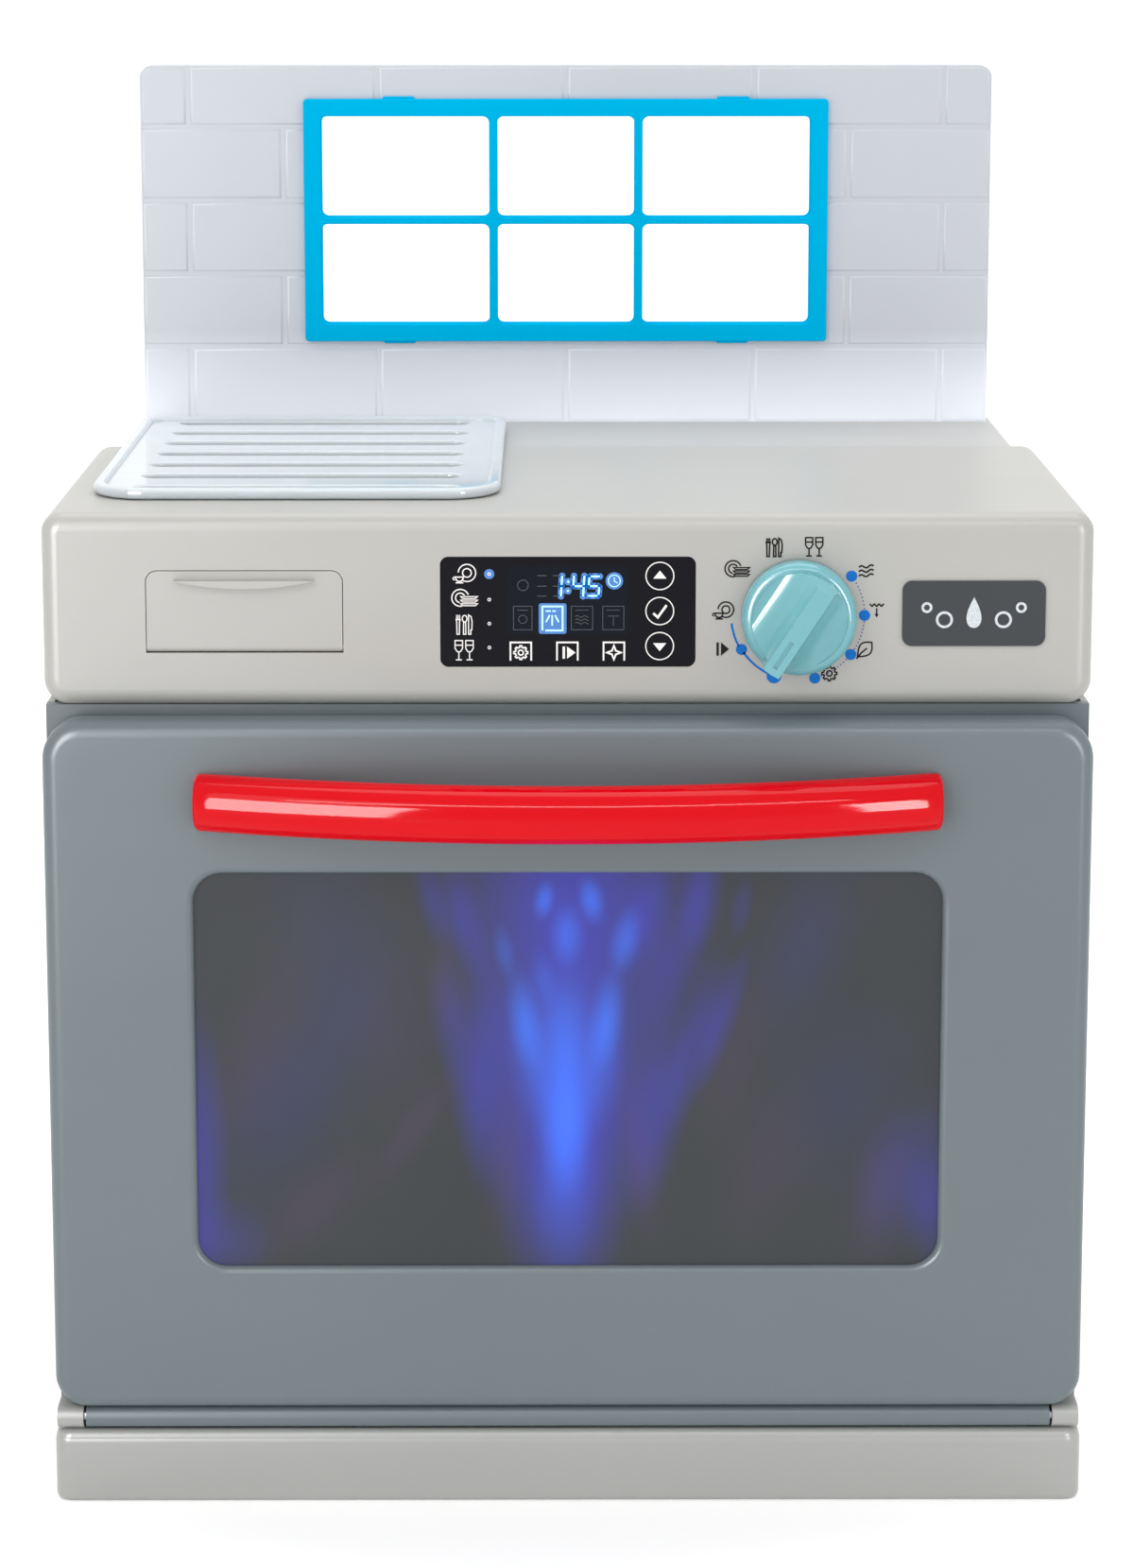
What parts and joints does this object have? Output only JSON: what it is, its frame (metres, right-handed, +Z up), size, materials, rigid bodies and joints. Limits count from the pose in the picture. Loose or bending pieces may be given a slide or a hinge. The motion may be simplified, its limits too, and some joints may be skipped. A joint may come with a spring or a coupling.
{
  "type": "toy dishwasher",
  "caption": "Free-standing toy dishwasher with a drop-down door, pull-out racks, a console with knob and buttons, a drying rack and a tiled back wall with a window.",
  "frame": {"origin": "on the floor, in the middle of the whole width and depth", "axes": "+Z up, the door and console face -Y, +X is to the right seen from the front"},
  "size_m": [0.375, 0.302, 0.5115],
  "materials": {
    "console_plastic": "satin",
    "base_plastic": "satin",
    "rear_plastic": "satin",
    "liner_plastic": "matt",
    "door_plastic": "satin",
    "smoke_window": "polished, smoke tinted",
    "handle_plastic": "polished",
    "knob_plastic": "satin",
    "display_plastic": "polished",
    "badge_plastic": "satin",
    "backsplash_plastic": "satin",
    "window_frame_plastic": "polished",
    "drying_rack_plastic": "polished, slightly clear",
    "basket_plastic": "satin",
    "bright_trim": "polished",
    "lamp_plastic": "clear",
    "screw_steel": "zinc plated",
    "board_green": "solder mask",
    "black_plastic": "matt",
    "battery_jacket": "printed film",
    "lead_rubber": "soft"
  },
  "bodies": {
    "cabinet": {"base_tray": "base_plastic", "front_frame": "door_plastic", "right_side_panel": "console_plastic", "left_side_panel": "console_plastic", "right_liner": "liner_plastic", "left_liner": "liner_plastic", "cavity_ceiling": "liner_plastic", "lamp_reflector": "bright_trim", "cavity_lamp": "lamp_plastic", "door_catches": "liner_plastic", "hinge_pins": "screw_steel", "console_housing": "console_plastic", "display_lens": "display_plastic", "circuit_board": "board_green", "board_screws": "screw_steel", "display_module": "black_plastic", "tact_switches": "black_plastic", "signal_lamps": "lamp_plastic", "board_components": "black_plastic", "rotary_switch": "black_plastic", "badge_plate": "badge_plastic", "rear_shell": "rear_plastic", "back_screws": "screw_steel", "battery_box": "rear_plastic", "battery_cover": "rear_plastic", "battery_cover_screw": "screw_steel", "batteries": "battery_jacket", "battery_contacts": "screw_steel", "loudspeaker": "black_plastic", "power_switch": "black_plastic", "battery_leads": "lead_rubber", "speaker_leads": "lead_rubber", "lamp_leads": "lead_rubber", "backsplash": "backsplash_plastic", "window_frame": "window_frame_plastic"},
    "door": {"door_outer": "door_plastic", "door_inner": "door_plastic", "door_window": "smoke_window", "door_handle": "handle_plastic", "door_screws": "screw_steel", "handle_screws": "screw_steel"},
    "lower_rack": {"lower_rack_floor": "basket_plastic", "lower_rack_ends": "basket_plastic", "lower_rack_sides": "basket_plastic", "lower_rack_combs": "basket_plastic"},
    "upper_rack": {"upper_rack_floor": "basket_plastic", "upper_rack_ends": "basket_plastic", "upper_rack_sides": "basket_plastic", "upper_rack_combs": "basket_plastic"},
    "knob": {"programme_knob": "knob_plastic", "knob_shaft": "screw_steel"},
    "detergent_drawer": {"detergent_drawer": "console_plastic"},
    "button_up": {"button_up": "display_plastic"},
    "button_select": {"button_select": "display_plastic"},
    "button_down": {"button_down": "display_plastic"},
    "power_slider": {"power_slider": "black_plastic"},
    "drying_rack": {"drying_rack": "drying_rack_plastic"}
  },
  "joints": [
    {"name": "door_hinge", "type": "hinge", "parent": "cabinet", "child": "door", "pos_m": [0, -0.114, 0.0316], "axis": [1, 0, 0], "range_deg": [0, 87]},
    {"name": "lower_rack_slide", "type": "slide", "parent": "cabinet", "child": "lower_rack", "axis": [0, -1, 0], "range_m": [0, 0.092]},
    {"name": "upper_rack_slide", "type": "slide", "parent": "cabinet", "child": "upper_rack", "axis": [0, -1, 0], "range_m": [0, 0.122]},
    {"name": "knob_turn", "type": "hinge", "parent": "cabinet", "child": "knob", "pos_m": [0.082, -0.106, 0.328], "axis": [0, 1, 0], "range_deg": [0, 324]},
    {"name": "drawer_tilt", "type": "hinge", "parent": "cabinet", "child": "detergent_drawer", "pos_m": [-0.11515, -0.10425, 0.31655], "axis": [1, 0, 0], "range_deg": [0, 50]},
    {"name": "button_up_press", "type": "slide", "parent": "cabinet", "child": "button_up", "axis": [0, 1, 0], "range_m": [0, 0.0011], "stiffness_N_per_m": 300},
    {"name": "button_select_press", "type": "slide", "parent": "cabinet", "child": "button_select", "axis": [0, 1, 0], "range_m": [0, 0.0011], "stiffness_N_per_m": 300},
    {"name": "button_down_press", "type": "slide", "parent": "cabinet", "child": "button_down", "axis": [0, 1, 0], "range_m": [0, 0.0011], "stiffness_N_per_m": 300},
    {"name": "power_slide", "type": "slide", "parent": "cabinet", "child": "power_slider", "axis": [1, 0, 0], "range_m": [0, 0.005]},
    {"name": "drying_rack_lift", "type": "slide", "parent": "cabinet", "child": "drying_rack", "axis": [0, 0, 1], "range_m": [0, 0.155]}
  ],
  "couplings": [
    {"joint": "lower_rack_slide", "follows": "door_hinge", "m_per_rad": 0.06},
    {"joint": "upper_rack_slide", "follows": "door_hinge", "m_per_rad": 0.08}
  ]
}
